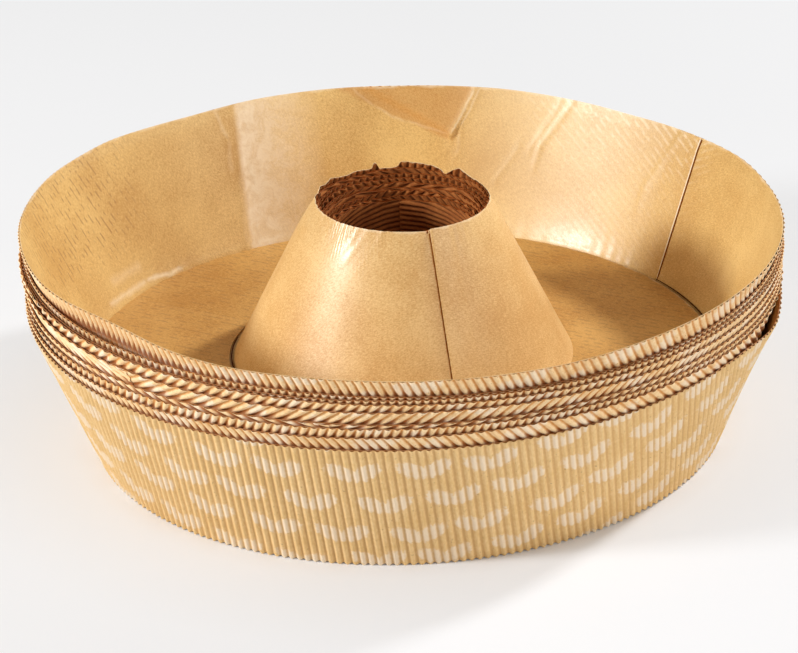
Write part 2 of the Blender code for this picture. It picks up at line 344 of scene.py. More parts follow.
def rolled_skin_tree():
    """The Geometry Nodes tree that rolls one closed skin of paper from its flat sheet."""
    tree = bpy.data.node_groups.new("rolled paper skin", "GeometryNodeTree")
    tree.interface.new_socket("Skin", in_out="OUTPUT", socket_type="NodeSocketGeometry")
    for name in ("Columns", "Rows"):
        tree.interface.new_socket(name, in_out="INPUT", socket_type="NodeSocketInt")
    for name in ROLLING_INPUTS:
        tree.interface.new_socket(name, in_out="INPUT", socket_type="NodeSocketFloat")
    tree.interface.new_socket("Paper finish", in_out="INPUT", socket_type="NodeSocketMaterial")
    given = add_node(tree, "NodeGroupInput")
    value = {socket.name: socket for socket in given.outputs if socket.name}
    place = add_node(tree, "ShaderNodeSeparateXYZ", [add_node(tree, "GeometryNodeInputPosition")])
    value["grid across"] = place.outputs["X"]
    value["grid along"] = place.outputs["Y"]
    for name, operation, *terms in ROLLING:
        terms = [value.get(term, term) for term in terms]
        value[name] = add_node(tree, "ShaderNodeMath", terms, operation=operation).outputs[0]
    loop_rows = add_node(tree, "ShaderNodeMath", [value["double rows"], 1.0], operation="ADD")
    grid = add_node(tree, "GeometryNodeMeshGrid", [1.0, 1.0, value["Columns"], loop_rows])
    flat = add_node(tree, "ShaderNodeCombineXYZ", [value["sheet across"], value["sheet along"]])
    flat_in_decimetres = add_node(tree, "ShaderNodeVectorMath",
                                  {"Vector": flat, "Scale": 10.0}, operation="SCALE")
    mapped = add_node(tree, "GeometryNodeStoreNamedAttribute",
                      {"Geometry": grid, "Name": "flat sheet", "Value": flat_in_decimetres},
                      data_type="FLOAT2", domain="CORNER")
    rolled = add_node(tree, "ShaderNodeCombineXYZ", [value["x"], value["y"], value["height"]])
    skin = add_node(tree, "GeometryNodeSetPosition", {"Geometry": mapped, "Position": rolled})
    closed = add_node(tree, "GeometryNodeMergeByDistance", {"Geometry": skin, "Distance": 2e-6})
    real = add_node(tree, "GeometryNodeRealizeInstances", [closed])
    finished = add_node(tree, "GeometryNodeSetMaterial",
                        {"Geometry": real, "Material": value["Paper finish"]})
    add_node(tree, "NodeGroupOutput", [finished])
    return tree


def rolled_mesh(name, tree, sizes):
    """Run the tree with these sizes and return the finished plain mesh."""
    maker = bpy.data.objects.new(name, bpy.data.meshes.new(name))
    bpy.context.scene.collection.objects.link(maker)
    roll = maker.modifiers.new("roll", "NODES")
    roll.node_group = tree
    for socket in tree.interface.items_tree:
        if socket.in_out == "INPUT":
            roll[socket.identifier] = sizes[socket.name]
    bpy.context.view_layer.update()
    evaluated = maker.evaluated_get(bpy.context.evaluated_depsgraph_get())
    mesh = bpy.data.meshes.new_from_object(evaluated)
    bpy.data.objects.remove(maker)
    shell = bmesh.new()
    shell.from_mesh(mesh)
    bmesh.ops.dissolve_degenerate(shell, dist=1e-7, edges=shell.edges)
    bmesh.ops.recalc_face_normals(shell, faces=shell.faces)
    shell.to_mesh(mesh)
    shell.free()
    mesh.polygons.foreach_set("use_smooth", [True] * len(mesh.polygons))
    mesh.set_sharp_from_angle(angle=math.radians(50))
    return mesh


def ring_table(turn, pairs, softness=9):
    """A value that changes round the ring, from pairs of turn in degrees and value."""
    places = np.arange(-180.0, 180.0, 0.5)
    values = np.interp(places, *zip(*pairs), period=360.0)
    window = np.hanning(2 * softness + 3)[1:-1]
    joined = np.concatenate([values[-softness:], values, values[:softness]])
    values = np.convolve(joined, window / window.sum(), mode="valid")
    return np.interp(np.degrees(turn), places, values, period=360.0)


def ripple(turn, seed, lowest, highest):
    """A fixed random wobble round the ring, between -1 and 1."""
    draw = np.random.default_rng(seed)
    total = np.zeros_like(turn)
    for count in range(lowest, highest):
        total += draw.uniform(0.4, 1.0) * np.cos(count * turn + draw.uniform(0.0, math.tau))
    return total / math.sqrt(highest - lowest)


def turn_from(turn, degrees):
    """Signed turn in radians from a place given in degrees."""
    return (turn - np.radians(degrees) + math.pi) % math.tau - math.pi


def mesh_places(mesh):
    """Turn, radius and height of a mesh's points."""
    points = np.empty(len(mesh.vertices) * 3)
    mesh.vertices.foreach_get("co", points)
    x, y, height = points.reshape(-1, 3).T
    return np.arctan2(y, x), np.hypot(x, y), height


def bend(mesh, shape, mould):
    """Move a mesh's points with shape(mould, turn, radius, height), which gives the last two."""
    turn, radius, height = mesh_places(mesh)
    radius, height = shape(mould, turn, radius, height)
    points = np.stack([radius * np.cos(turn), radius * np.sin(turn), height], axis=1)
    mesh.vertices.foreach_set("co", points.ravel())
    mesh.update()


def store_marks(mesh, name, values):
    """Store one number at each point of a mesh, for its material."""
    mesh.attributes.new(name, "FLOAT", "POINT").data.foreach_set("value", values)


def lean_share(mould):
    """How much of the lean a mould has: none at the bottom, all of it at the top."""
    return (mould - 1) / (TOP - 1)


def rim_rise(mould, turn):
    """How far the rim of a mould stands above that of an even stack."""
    if mould == TOP:
        return ring_table(turn, TOP_RIM) * MM
    rise = np.zeros_like(turn)
    for count, (height, peak) in enumerate(RIM_WAVES[mould - 1]):
        rise += height * MM * np.cos(count * (turn - math.radians(peak)))
    return rise + 0.10 * MM * ripple(turn, 100 + mould, 40, 90)


def mark_rim_below(mesh, mould):
    """Store how far in mm each point of a wall stands above the rim of the mould below."""
    turn, _radius, height = mesh_places(mesh)
    height = height + lean_share(mould) * LEAN_RISE * np.cos(turn - LEAN_TURN)
    above = height - (WALL_HEIGHT + rim_rise(mould - 1, turn) - NEST_STEP)
    # On the right the rub line, with its painted shade of the gap, sits lower, so that less of it
    # shows
    above = above + 0.8 * MM * np.maximum(np.cos(turn), 0.0)
    store_marks(mesh, "above lower rim", above / MM)


def stain_and_shade_rim(mesh, top, depth, strength):
    """Store how strongly each point near the edge of a nested liner is stained brown; the stain
    also paints the shade in the gaps between the nested rims.
    """
    share = 1.0 - (top - mesh_places(mesh)[2]) / depth
    store_marks(mesh, "stained rim", strength * np.clip(share, 0.0, 1.0))


def finish_piece(name, mesh, mould, node):
    """Seat a mesh on its mould, in place of the plain solid, and let it ride with it."""
    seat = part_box(f"mould_{mould}_wall")[0].z
    rim = Matrix.Translation((0.0, 0.0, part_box(f"mould_{TOP}_wall")[1].z))
    lean = Matrix.Rotation(LEAN_RISE / RIM_RADIUS * lean_share(mould), 4,
                           (math.sin(LEAN_TURN), -math.cos(LEAN_TURN), 0.0))
    mesh.transform(rim @ lean @ rim.inverted() @ Matrix.Translation((0.0, 0.0, seat)))
    piece = bpy.data.objects.new(name, mesh)
    bpy.context.scene.collection.objects.link(piece)
    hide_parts(node)
    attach(piece, f"mould_{mould}")


def paper_material(name):
    """A new material, and the places on the flat sheet in mm and on the object that it reads."""
    material = bpy.data.materials.new(name)
    material.use_nodes = True
    tree = material.node_tree
    sheet = add_node(tree, "ShaderNodeUVMap", uv_map="flat sheet").outputs["UV"]
    millimetres = add_node(tree, "ShaderNodeVectorMath", {"Vector": sheet, "Scale": 100.0},
                           operation="SCALE")
    solid = add_node(tree, "ShaderNodeTexCoord").outputs["Object"]
    return material, tree, tree.nodes["Principled BSDF"], millimetres, solid


def flute_wave(tree, millimetres):
    """1 on the crests of the flutes and -1 in their valleys."""
    across = add_node(tree, "ShaderNodeSeparateXYZ", [millimetres]).outputs["X"]
    turns = add_node(tree, "ShaderNodeMath", [across, math.tau / (FLUTE_PITCH / MM)],
                     operation="MULTIPLY")
    return add_node(tree, "ShaderNodeMath", [turns], operation="COSINE")


def printed_sprouts(tree, millimetres, wave, strength):
    """The share of cream ink: two-leaved sprouts in staggered rows, worn in places."""
    row_height = 13.5
    column_width = 21.0
    place = add_node(tree, "ShaderNodeSeparateXYZ", [millimetres])
    rows = add_node(tree, "ShaderNodeMath", [place.outputs["Y"], row_height], operation="DIVIDE")
    row = add_node(tree, "ShaderNodeMath", [rows], operation="FLOOR")
    shift = add_node(tree, "ShaderNodeMath", [row, 0.38], operation="MULTIPLY")
    columns = add_node(tree, "ShaderNodeMath", [place.outputs["X"], 1.0 / column_width, shift],
                       operation="MULTIPLY_ADD")
    column = add_node(tree, "ShaderNodeMath", [columns], operation="FLOOR")
    cell = add_node(tree, "ShaderNodeCombineXYZ", [column, row])

    # Each sprout strays a little from the middle of its cell, and its leaves mirror each other
    chance = add_node(tree, "ShaderNodeTexWhiteNoise", {"Vector": cell})
    stray = add_node(tree, "ShaderNodeSeparateColor", [chance.outputs["Color"]])
    up = add_node(tree, "ShaderNodeMath", [rows], operation="FRACT")
    side = add_node(tree, "ShaderNodeMath", [columns], operation="FRACT")
    from_middle = add_node(tree, "ShaderNodeMath", [side, 0.57], operation="SUBTRACT")
    strayed = add_node(tree, "ShaderNodeMath", [stray.outputs["Red"], 0.14, from_middle],
                       operation="MULTIPLY_ADD")
    mirrored = add_node(tree, "ShaderNodeMath", [strayed], operation="ABSOLUTE")
    leaf_x = add_node(tree, "ShaderNodeMath", [mirrored, column_width, -3.6],
                      operation="MULTIPLY_ADD")
    strayed_up = add_node(tree, "ShaderNodeMath", [stray.outputs["Green"], 0.20, up],
                          operation="MULTIPLY_ADD")
    leaf_y = add_node(tree, "ShaderNodeMath", [strayed_up, row_height, -row_height * 0.6],
                      operation="MULTIPLY_ADD")
    leaf = add_node(tree, "ShaderNodeCombineXYZ", [leaf_x, leaf_y])
    turned = add_node(tree, "ShaderNodeMapping", {"Vector": leaf, "Rotation": (0.0, 0.0, -0.60)})
    squeezed = add_node(tree, "ShaderNodeVectorMath", [turned, (0.190, 0.330, 0.0)],
                        operation="MULTIPLY")
    span = add_node(tree, "ShaderNodeVectorMath", [squeezed], operation="LENGTH").outputs["Value"]

    # The ink is worn unevenly and reaches only the flutes' crests
    wear = add_node(tree, "ShaderNodeTexNoise", {"Vector": millimetres, "Scale": 0.75,
                                                 "Detail": 4.0})
    worn_span = add_node(tree, "ShaderNodeMath", [wear, 0.9, span], operation="MULTIPLY_ADD")
    inked = add_node(tree, "ShaderNodeMapRange", [worn_span, 1.55, 1.28, 0.0, strength])
    pressed = add_node(tree, "ShaderNodeMath", [wear, 1.2, wave], operation="MULTIPLY_ADD")
    reached = add_node(tree, "ShaderNodeMapRange", [pressed, -0.45, 0.70, 0.1, 1.0])
    return add_node(tree, "ShaderNodeMath", [inked, reached], operation="MULTIPLY")


def rub_line_and_gap_shade(tree, fibre, wave, strength):
    """The share of a brown line that the rim below has rubbed, higher up in the valleys; it also
    paints the shade in the gap above that rim.
    """
    mark = add_node(tree, "ShaderNodeAttribute", attribute_name="above lower rim").outputs["Fac"]
    uneven = add_node(tree, "ShaderNodeMath", [fibre, 0.8, mark], operation="MULTIPLY_ADD")
    crest_mark = add_node(tree, "ShaderNodeMath", [wave, 0.9, uneven], operation="MULTIPLY_ADD")
    top = add_node(tree, "ShaderNodeMapRange", [crest_mark, 1.9, 0.7, 0.0, strength])
    return add_node(tree, "ShaderNodeMapRange", [uneven, -2.0, -0.5, 0.0, top])


def kraft_fluting(name, sheet_colour, dark_colour, groove_stain_and_shade_colour, print_colour=None,
                  print_strength=0.0, rubbing_and_gap_shade=0.0):
    """Fluting paper: machine-made kraft, matt and fibrous, pressed into waves between rollers."""
    material, tree, shader, millimetres, solid = paper_material(name)

    # Pulp fibres lie mostly along the sheet, 1 to 3 mm long
    fibres = add_node(tree, "ShaderNodeMapping", {"Vector": millimetres, "Scale": (1.0, 0.4, 1.0)})
    fibre = add_node(tree, "ShaderNodeTexNoise", {"Vector": fibres, "Scale": 1.6, "Detail": 5.0})
    cloud = add_node(tree, "ShaderNodeTexNoise", {"Vector": millimetres, "Scale": 0.09,
                                                  "Detail": 3.0})
    shade = add_node(tree, "ShaderNodeMath", [fibre, cloud], operation="ADD")
    tone = add_node(tree, "ShaderNodeMapRange", [shade, 0.80, 1.20, 0.0, 1.0])
    speck = add_node(tree, "ShaderNodeTexNoise", {"Vector": solid, "Scale": 1300.0, "Detail": 1.0})
    specks = add_node(tree, "ShaderNodeMapRange", [speck, 0.70, 0.76, 0.0, 0.5])

    # The valleys are darker: the stain of the paste where the paper is glued down, and painted
    # shade between the flutes
    wave = flute_wave(tree, millimetres)
    stain_and_shade = add_node(tree, "ShaderNodeMath", [fibre, 0.8, wave], operation="MULTIPLY_ADD")
    valley_stain_and_shade = add_node(tree, "ShaderNodeMapRange", [stain_and_shade, 0.30, -0.65, 0.0, 1.0])
    layers = [(tone, sheet_colour), (specks, "#7A5230"), (valley_stain_and_shade, groove_stain_and_shade_colour)]
    if print_colour:
        layers.append((printed_sprouts(tree, millimetres, wave, print_strength), print_colour))
    # A brown rub line that also paints the shade in the gap above the rim below
    if rubbing_and_gap_shade:
        layers.append((rub_line_and_gap_shade(tree, fibre, wave, rubbing_and_gap_shade), "#9A4E20"))
    coloured = linear(dark_colour)
    for share, hex_colour in layers:
        coloured = add_node(tree, "ShaderNodeMix", {"Factor_Float": share, "A_Color": coloured,
                                                    "B_Color": linear(hex_colour)},
                            data_type="RGBA")

    grain = add_node(tree, "ShaderNodeTexNoise", {"Vector": millimetres, "Scale": 5.0,
                                                  "Detail": 4.0})
    bump = add_node(tree, "ShaderNodeBump", {"Height": grain, "Strength": 0.25,
                                             "Distance": 0.0001})
    roughness = add_node(tree, "ShaderNodeMapRange", [grain, 0.3, 0.7, 0.62, 0.78])
    tree.links.new(coloured.outputs[2], shader.inputs["Base Color"])
    tree.links.new(roughness.outputs[0], shader.inputs["Roughness"])
    tree.links.new(bump.outputs[0], shader.inputs["Normal"])
    shader.inputs["Specular IOR Level"].default_value = 0.2
    return material


def wall_sheet_place(turn_deg, level_mm):
    """The place in mm on the top wall's flat sheet of a turn and a height on the wall."""
    turn = turn_from(math.radians(turn_deg), WALL_MIDDLES_DEG[-1]) * math.sin(WALL_SLOPE)
    slant = (level_mm - WALL_HEIGHT / MM) / math.cos(WALL_SLOPE)
    slant += RIM_RADIUS / MM / math.sin(WALL_SLOPE)
    return Vector((slant * math.sin(turn), slant * math.cos(turn), 0.0))


def cracked_glaze_and_highlights(tree, millimetres, rim_slant, folds):
    """How pale the glaze is painted at the rim and on the folds, for cracked glaze and as painted
    highlight, and the side of each fold.

    A slow drift of the place bends the lines.
    """
    reach = 2.4
    drift = add_node(tree, "ShaderNodeTexNoise", {"Vector": millimetres, "Scale": 0.16,
                                                  "Detail": 3.0})
    drifted = add_node(tree, "ShaderNodeVectorMath", [drift.outputs["Color"], (reach, reach, 0.0),
                                                      millimetres], operation="MULTIPLY_ADD")
    slant = add_node(tree, "ShaderNodeVectorMath", [millimetres], operation="LENGTH")
    from_rim = add_node(tree, "ShaderNodeMath", [slant.outputs["Value"], rim_slant],
                        operation="SUBTRACT")
    off_rim = add_node(tree, "ShaderNodeMath", [from_rim], operation="ABSOLUTE")
    rim_wear_and_highlight = add_node(tree, "ShaderNodeMath", [drift, reach, off_rim], operation="MULTIPLY_ADD")
    cracked_and_highlit = add_node(tree, "ShaderNodeMapRange", [rim_wear_and_highlight, 1.9, 1.1, 0.0, 0.45])
    sides = []
    for *ends, _depth, half_width, pale_and_highlight in folds:
        low, high = (wall_sheet_place(*end) for end in (ends[:2], ends[2:]))
        length = (high - low).length
        along_fold = (high - low) / length
        across_fold = Vector((along_fold.y, -along_fold.x, 0.0))
        middle_drift = Vector((reach / 2, reach / 2, 0.0))
        from_low = add_node(tree, "ShaderNodeVectorMath", [drifted, low + middle_drift],
                            operation="SUBTRACT")
        run, side = (
            add_node(tree, "ShaderNodeVectorMath", [from_low, direction],
                     operation="DOT_PRODUCT").outputs["Value"]
            for direction in (along_fold, across_fold))
        distance = add_node(tree, "ShaderNodeMath", [side], operation="ABSOLUTE")
        line = add_node(tree, "ShaderNodeMapRange", [distance, half_width, 0.0, 0.0, pale_and_highlight])
        start = add_node(tree, "ShaderNodeMapRange", [run, -0.5, 1.5, 0.0, line])
        end = add_node(tree, "ShaderNodeMapRange", [run, length + 0.5, length - 1.5, 0.0, start])
        cracked_and_highlit = add_node(tree, "ShaderNodeMath", [end, cracked_and_highlit], operation="MAXIMUM")
        sides.append(side)
    return cracked_and_highlit, sides


def broken_flutes(tree, millimetres):
    """The flutes seen through a liner: their wave, how broken it is, and dark dashes of it."""
    rib = flute_wave(tree, millimetres)
    stretched = add_node(tree, "ShaderNodeMapping", {"Vector": millimetres,
                                                     "Scale": (0.50, 0.30, 1.0)})
    broken = add_node(tree, "ShaderNodeTexNoise", {"Vector": stretched, "Scale": 1.0,
                                                   "Detail": 1.0})
    dash = add_node(tree, "ShaderNodeMapRange", [broken, 0.48, 0.56, 0.0, 0.7])
    return rib, broken, dash


def handling_marks(tree, millimetres, solid, cloud, fold_sides):
    """What handling has left on the top wall, with painted highlights and shade among it: layers
    of colour, polish and bumps.
    """
    # Most marks have their own sector of the ring: turn in degrees, and the cosines of the turns
    # from there at which the mark has faded out and at which it is full
    place = add_node(tree, "ShaderNodeSeparateXYZ", [solid])
    x, y, height = (place.outputs[axis] for axis in "XYZ")
    level = add_node(tree, "ShaderNodeCombineXYZ", [x, y])
    heading = add_node(tree, "ShaderNodeVectorMath", [level], operation="NORMALIZE")
    sectors = []
    for turn_deg, faded, full in ((168.0, 0.86, 0.97), (47.0, 0.93, 0.978), (57.0, 0.90, 0.985)):
        towards = (math.cos(math.radians(turn_deg)), math.sin(math.radians(turn_deg)), 0.0)
        facing = add_node(tree, "ShaderNodeVectorMath", [heading, towards],
                          operation="DOT_PRODUCT").outputs["Value"]
        sectors.append(add_node(tree, "ShaderNodeMapRange", [facing, faded, full, 0.0, 1.0]))
    dashed, brushed_and_glinting, burnished_and_sheen = sectors

    # Flutes show through on the left as broken dark dashes; at the back right, bright ribs along
    # them are a painted glint of the glaze
    rib, broken, dash = broken_flutes(tree, millimetres)
    high_up = add_node(tree, "ShaderNodeMapRange", [height, 0.034, 0.046, 0.0, dash])
    line = add_node(tree, "ShaderNodeMapRange", [rib, 0.60, 0.97, 0.0, 1.0])
    dash_line = add_node(tree, "ShaderNodeMath", [high_up, line], operation="MULTIPLY")
    dash_share = add_node(tree, "ShaderNodeMath", [dash_line, dashed], operation="MULTIPLY")
    near_rim = add_node(tree, "ShaderNodeMapRange", [height, 0.046, 0.066, 0.10, 0.50])
    painted_glint = add_node(tree, "ShaderNodeMapRange", [broken, 0.40, 0.60, 0.0, near_rim])
    rib_up = add_node(tree, "ShaderNodeMapRange", [rib, -0.2, 1.0, 0.0, 1.0])
    painted_glint_line = add_node(tree, "ShaderNodeMath", [painted_glint, rib_up], operation="MULTIPLY")
    painted_glint_share = add_node(tree, "ShaderNodeMath", [painted_glint_line, brushed_and_glinting], operation="MULTIPLY")
    # A painted pale sheen over the back right, where the glaze reflects the left lamp
    painted_sheen_share = add_node(tree, "ShaderNodeMath", [burnished_and_sheen, 0.30], operation="MULTIPLY")

    # The flap between two folds at the back is painted darker, as shade where it turns away from
    # the light
    below, right = (fold_sides[fold] for fold in FLAP_FOLDS)
    above_fold = add_node(tree, "ShaderNodeMapRange", [below, 0.3, -1.0, 0.0, 0.40])
    flap_shade_share = add_node(tree, "ShaderNodeMapRange", [right, 0.0, 1.2, 0.0, above_fold])

    # A sector at the back left has been crumpled, and its glaze is rubbed pale
    turn = add_node(tree, "ShaderNodeMath", [y, x], operation="ARCTAN2")
    edge_turn = add_node(tree, "ShaderNodeMath", [height, 1.08, turn], operation="MULTIPLY_ADD")
    sharp_side = add_node(tree, "ShaderNodeMapRange", [edge_turn, 2.141, 2.123, 0.0, 1.0])
    soft_side = add_node(tree, "ShaderNodeMapRange", [turn, 1.80, 2.06, 0.0, 1.0])
    rubbed = add_node(tree, "ShaderNodeMath", [sharp_side, soft_side], operation="MULTIPLY")
    crumple = add_node(tree, "ShaderNodeTexNoise", {"Vector": solid, "Scale": 210.0,
                                                    "Detail": 6.0, "Roughness": 0.7,
                                                    "Distortion": 0.6})
    veins = add_node(tree, "ShaderNodeMapRange", [crumple, 0.42, 0.58, 0.60, 1.00])
    pale_share = add_node(tree, "ShaderNodeMath", [rubbed, veins], operation="MULTIPLY")

    # The foot of the wall at the back right is burnished by the moulds that were pressed in
    low_down = add_node(tree, "ShaderNodeMapRange", [height, 0.037, 0.026, 0.0, 0.75])
    worn = add_node(tree, "ShaderNodeMath", [burnished_and_sheen, low_down], operation="MULTIPLY")
    polish = add_node(tree, "ShaderNodeMath", [brushed_and_glinting, 0.25, worn], operation="MULTIPLY_ADD")

    rib_height = add_node(tree, "ShaderNodeMath", [rib, brushed_and_glinting], operation="MULTIPLY")
    ribs_cloud = add_node(tree, "ShaderNodeMath", [rib_height, 0.05, cloud],
                          operation="MULTIPLY_ADD")
    bumps = add_node(tree, "ShaderNodeMath", [crumple, rubbed, ribs_cloud],
                     operation="MULTIPLY_ADD")
    layers = [(dash_share, "#8F6032"), (painted_glint_share, "#FBEBCB"), (painted_sheen_share, "#F4E0B8"),
              (flap_shade_share, "#BC7C38"), (pale_share, "#F0DCBC")]
    return layers, polish, bumps


def glazed_liner(name, light_colour, dark_colour, roughness_range, glaze, rim_slant,
                 handled=False, stained_and_shaded=False, crinkled=False, show_through=0.0):
    """Machine-glazed kraft: dried against a polished cylinder, so smooth and half glossy."""
    material, tree, shader, millimetres, solid = paper_material(name)

    # Cloudy pulp with short fibres along the sheet, and grit of a millimetre or less
    cloud = add_node(tree, "ShaderNodeTexNoise", {"Vector": solid, "Scale": 30.0, "Detail": 6.0,
                                                  "Roughness": 0.6})
    fibres = add_node(tree, "ShaderNodeMapping", {"Vector": millimetres, "Scale": (3.0, 0.8, 1.0)})
    fibre = add_node(tree, "ShaderNodeTexNoise", {"Vector": fibres, "Scale": 1.0, "Detail": 3.0})
    grit = add_node(tree, "ShaderNodeTexNoise", {"Vector": solid, "Scale": 2300.0, "Detail": 1.0})
    fibred = add_node(tree, "ShaderNodeMath", [fibre, 0.75, cloud], operation="MULTIPLY_ADD")
    mottle = add_node(tree, "ShaderNodeMath", [grit, 0.65, fibred], operation="MULTIPLY_ADD")
    tone = add_node(tree, "ShaderNodeMapRange", [mottle, 1.00, 1.42, 0.0, 1.0])
    roughness = add_node(tree, "ShaderNodeMapRange", [mottle, 0.90, 1.50, *roughness_range])
    sheen = add_node(tree, "ShaderNodeMapRange", [mottle, 1.00, 1.42, 0.54, 0.42])
    layers = [(tone, light_colour)]
    bumps = cloud
    cracked_and_highlit, fold_sides = cracked_glaze_and_highlights(tree, millimetres, rim_slant, FOLDS if handled else ())

    if show_through:
        rib, _broken, dash = broken_flutes(tree, millimetres)
        rib_shade = add_node(tree, "ShaderNodeMapRange", [rib, -0.2, 0.9, 0.0, dash])
        streaks = add_node(tree, "ShaderNodeMath", [rib_shade, show_through],
                           operation="MULTIPLY")
        layers.append((streaks, "#8F6032"))
    if handled:
        marks, polish, bumps = handling_marks(tree, millimetres, solid, cloud, fold_sides)
        layers += marks
        roughness = add_node(tree, "ShaderNodeMath", [polish, -0.12, roughness],
                             operation="MULTIPLY_ADD")
        sheen = add_node(tree, "ShaderNodeMath", [polish, -0.14, sheen], operation="MULTIPLY_ADD")
    if crinkled:
        # The crinkled edge at the top of a tube is rubbed smooth
        height = add_node(tree, "ShaderNodeSeparateXYZ", [solid]).outputs["Z"]
        sheen = add_node(tree, "ShaderNodeMapRange", [height, 0.060, 0.068, sheen, 0.20])
    # Pale cracked glaze at the rim and on the folds, which also paints their highlights
    layers.append((cracked_and_highlit, "#F8E6C4"))
    if stained_and_shaded:
        # The edges of the nested sheets are stained brown, which also paints the shade in the gaps
        # between them, and have lost their glaze
        stain_and_shade = add_node(tree, "ShaderNodeAttribute", attribute_name="stained rim").outputs["Fac"]
        layers.append((stain_and_shade, "#A04E1C"))
        coat = add_node(tree, "ShaderNodeMapRange", [stain_and_shade, 0.0, 0.3, glaze, 0.0])
        specular = add_node(tree, "ShaderNodeMapRange", [stain_and_shade, 0.0, 0.3, 0.5, 0.05])
        tree.links.new(coat.outputs[0], shader.inputs["Coat Weight"])
        tree.links.new(specular.outputs[0], shader.inputs["Specular IOR Level"])
    else:
        shader.inputs["Coat Weight"].default_value = glaze

    coloured = linear(dark_colour)
    for share, hex_colour in layers:
        coloured = add_node(tree, "ShaderNodeMix", {"Factor_Float": share, "A_Color": coloured,
                                                    "B_Color": linear(hex_colour)},
                            data_type="RGBA")
    bump = add_node(tree, "ShaderNodeBump", {"Height": bumps, "Strength": 0.6,
                                             "Distance": 0.0003})
    fine = add_node(tree, "ShaderNodeBump", {"Height": grit, "Strength": 0.12,
                                             "Distance": 0.0001, "Normal": bump})
    tree.links.new(coloured.outputs[2], shader.inputs["Base Color"])
    tree.links.new(roughness.outputs[0], shader.inputs["Roughness"])
    tree.links.new(sheen.outputs[0], shader.inputs["Coat Roughness"])
    tree.links.new(fine.outputs[0], shader.inputs["Normal"])
    shader.inputs["IOR"].default_value = 1.48
    return material


def wall_shape(mould, turn, radius, height):
    """Draw a nested wall in below its rim, stretch each wall to its uneven rim and lean it."""
    share = np.clip(height / WALL_HEIGHT, 0.0, 1.0)
    if mould > 1:
        below_rim = np.clip((WALL_HEIGHT - height) / MM, 0.0, 48.0)
        neck = np.clip((below_rim - 0.6) / 2.2, 0.0, 1.0) * (1.0 - below_rim / 48.0)
        radius = radius - NECK * neck
    rise = rim_rise(mould, turn)
    if mould == 1:
        # The lowest rim has been pulled open on the right
        pulled = np.exp(-(turn_from(turn, -19.0) / math.radians(9.0)) ** 2)
        radius = radius + 2.1 * MM * pulled * share ** 3
        rise = rise - 2.6 * MM * pulled
    if mould == TOP:
        # The top rim has been pushed in at the left front
        pushed = np.exp(-(turn_from(turn, -138.0) / math.radians(11.0)) ** 2)
        radius = radius - 3.5 * MM * share ** 2 * pushed
    rise = rise - lean_share(mould) * LEAN_RISE * np.cos(turn - LEAN_TURN)
    return radius + rise * share * math.tan(WALL_SLOPE), height + rise * share


def handled_shape(mould, turn, radius, height):
    """Fold, round and pleat the top wall's liner, inwards only so that the flutes stay behind."""
    level = height / MM
    for turn_low, low, turn_high, high, depth, half_width, _pale_and_highlight in FOLDS:
        along = np.clip((level - low) / (high - low), 0.0, 1.0)
        off = turn_from(turn, turn_low + (turn_high - turn_low) * along) * radius / MM
        beyond = level - (low + (high - low) * along)
        radius = radius - depth * MM * np.exp(-(off / half_width) ** 2 - (beyond / 2.5) ** 2)
    # A flap of the rim between two folds at the back has turned a little to the right
    across = np.degrees(turn_from(turn, 78.5)) - (38.0 - level) * 0.25
    flap = np.clip((level - 31.5 - across * 0.85) / 13.0, 0.0, 1.0)
    flap = np.minimum(flap / 0.12, 1.0) * (1.0 - flap) * (across > 0.0)
    radius = radius - 1.3 * MM * flap
    above = np.abs(height - BOARD - BASE_SEAT) / MM
    radius = radius - ring_table(turn, FOOT_ROUNDING) * 1.1 * MM * np.exp(-above / 3.4)
    pleats = ripple(turn, 400, 70, 150) * np.exp(-above / 4.0)
    pleats += 0.6 * ripple(turn + above * 0.02, 401, 40, 110) * np.exp(-above / 8.0)
    radius = radius + ring_table(turn, FOOT_PLEATS) * 0.16 * MM * pleats
    return wall_shape(mould, turn, radius, height)


roller = rolled_skin_tree()
wall_half_angle = math.pi * math.sin(WALL_SLOPE)
wall_rim_slant = RIM_RADIUS / math.sin(WALL_SLOPE)
wall_foot_slant = wall_rim_slant - WALL_HEIGHT / math.cos(WALL_SLOPE)
wall_width = 2.0 * wall_rim_slant * math.sin(wall_half_angle)
printed_fluting = kraft_fluting("printed kraft fluting", "#E8C68F", "#DDB77B", "#CDA46C",
                                "#EEE0CC", 0.66)
# The nested rims get a copy of the printed fluting painted with light and shade: paler crests,
# darker grooves, and a brown rub line that paints the shade in the gap above the rim below
nested_fluting_lit_and_shaded = kraft_fluting("nested printed kraft fluting with painted light and shade", "#F6D8A8", "#ECC48E", "#CC8C48",
                               "#F4E6D0", 0.55, rubbing_and_gap_shade=0.76)
wall_lining = glazed_liner("glazed kraft wall liner", "#E4C07A", "#C39650", (0.54, 0.42), 0.35,
                           wall_rim_slant / MM, handled=True)
nested_wall_lining = glazed_liner("glazed kraft liner of the nested walls", "#E4C07A", "#C39650",
                                  (0.54, 0.42), 0.35, wall_rim_slant / MM, stained_and_shaded=True)
wall_sizes = {
    "Slope": WALL_SLOPE, "Rise": 1.0,
    "Apex height": WALL_HEIGHT - wall_rim_slant * math.cos(WALL_SLOPE),
    "Near slant": wall_foot_slant - WALL_MARGIN, "Far slant": wall_rim_slant,
    "Fold slant": wall_foot_slant, "Fold size": FOLD_SIZE,
    "Half angle": wall_half_angle, "Lap angle": WALL_LAP / wall_rim_slant,
    "Lap ramp": LAP_RAMP, "Lap lift": LAP_LIFT, "Lap sink": LAP_SINK,
    "Flute pitch": FLUTE_PITCH, "Crest power": CREST_POWER,
}
